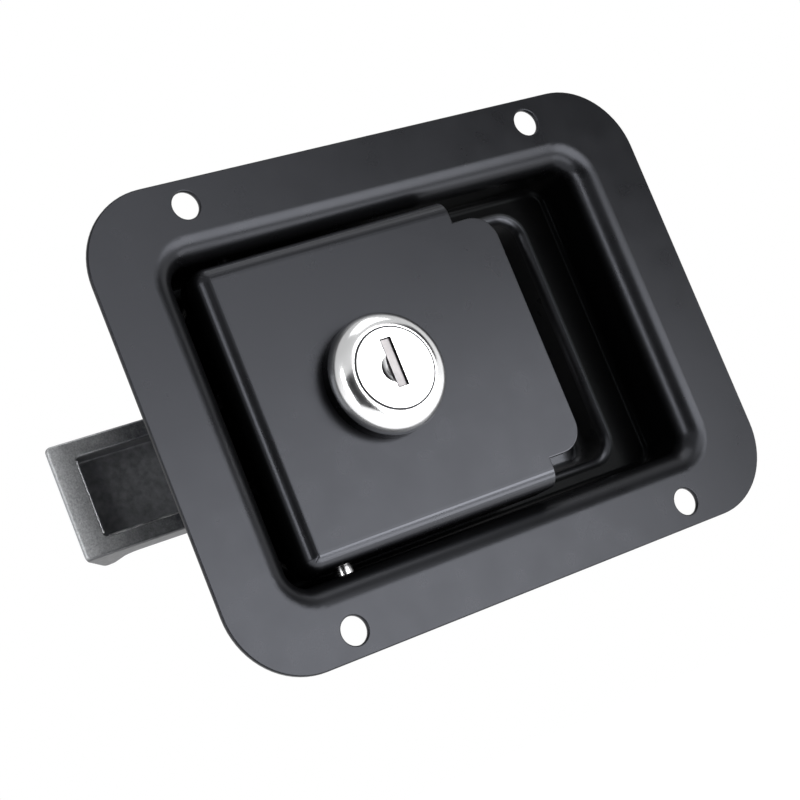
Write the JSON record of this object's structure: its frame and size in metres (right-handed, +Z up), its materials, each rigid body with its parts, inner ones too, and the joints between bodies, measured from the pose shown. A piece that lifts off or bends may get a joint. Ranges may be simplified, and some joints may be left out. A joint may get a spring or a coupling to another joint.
{
  "type": "flush paddle latch",
  "caption": "Recessed paddle latch for a trailer or camper entry door: screwed-on pressed pan, pivoting pull paddle with a domed key cylinder, and a sprung slam bolt behind it.",
  "frame": {"origin": "centre of the four screw holes, on the flange's back face, where it lies on the door", "axes": "+Y into the door, so the outside is -Y; +Z up the door; +X away from the bolt, so the bolt's tip points to -X"},
  "size_m": [0.1178, 0.0498, 0.0826],
  "materials": {
    "powder_coat": "satin black powder coat",
    "chrome_plate": "bright plated",
    "die_cast_zinc": "bare zinc die casting, matte and mottled",
    "plated_steel": "zinc plated",
    "spring_steel": "plain drawn wire",
    "brass": "plain"
  },
  "bodies": {
    "housing": {"pan": "powder_coat", "bolt_guide": "plated_steel", "guide_rivets": "plated_steel", "hinge_pin": "plated_steel", "hinge_pin_clip": "spring_steel", "paddle_spring": "spring_steel", "bolt_spring": "spring_steel"},
    "paddle": {"paddle": "powder_coat", "drive_yoke": "plated_steel", "lock_body": "chrome_plate", "lock_washer": "plated_steel", "lock_nut": "brass"},
    "plug": {"lock_plug": "chrome_plate", "plug_cap": "chrome_plate", "shutter_pin": "plated_steel", "shutter_spring": "spring_steel", "wafer_1": "brass", "wafer_2": "brass", "wafer_3": "brass", "wafer_4": "brass", "wafer_5": "brass", "wafer_spring_1": "spring_steel", "wafer_spring_2": "spring_steel", "wafer_spring_3": "spring_steel", "wafer_spring_4": "spring_steel", "wafer_spring_5": "spring_steel", "cam": "plated_steel", "cam_washer": "plated_steel", "cam_screw": "plated_steel"},
    "shutter": {"shutter": "plated_steel"},
    "bolt": {"bolt": "die_cast_zinc", "bolt_rod": "plated_steel", "bolt_rod_clip": "spring_steel"}
  },
  "joints": [
    {"name": "paddle_hinge", "type": "hinge", "parent": "housing", "child": "paddle", "pos_m": [-0.0296, 0.0056, 0], "axis": [0, 0, -1], "range_deg": [0, 30], "stiffness_Nm_per_rad": 0.35, "springref_deg": -28.65, "deforming": ["paddle_spring"]},
    {"name": "plug_turn", "type": "hinge", "parent": "paddle", "child": "plug", "pos_m": [-0.01431, -0.00261, 0], "axis": [0.0523, 0.9986, 0], "range_deg": [0, 90]},
    {"name": "shutter_hinge", "type": "hinge", "parent": "plug", "child": "shutter", "pos_m": [-0.01234, -0.00707, 0.0009], "axis": [0, 0, -1], "range_deg": [0, 70], "stiffness_Nm_per_rad": 0.0005, "springref_deg": -28.65},
    {"name": "bolt_slide", "type": "slide", "parent": "housing", "child": "bolt", "axis": [1, 0, 0], "range_m": [0, 0.0116], "deforming": ["bolt_spring"]}
  ],
  "couplings": [
    {"joint": "bolt_slide", "follows": "paddle_hinge", "m_per_rad": 0.022}
  ]
}
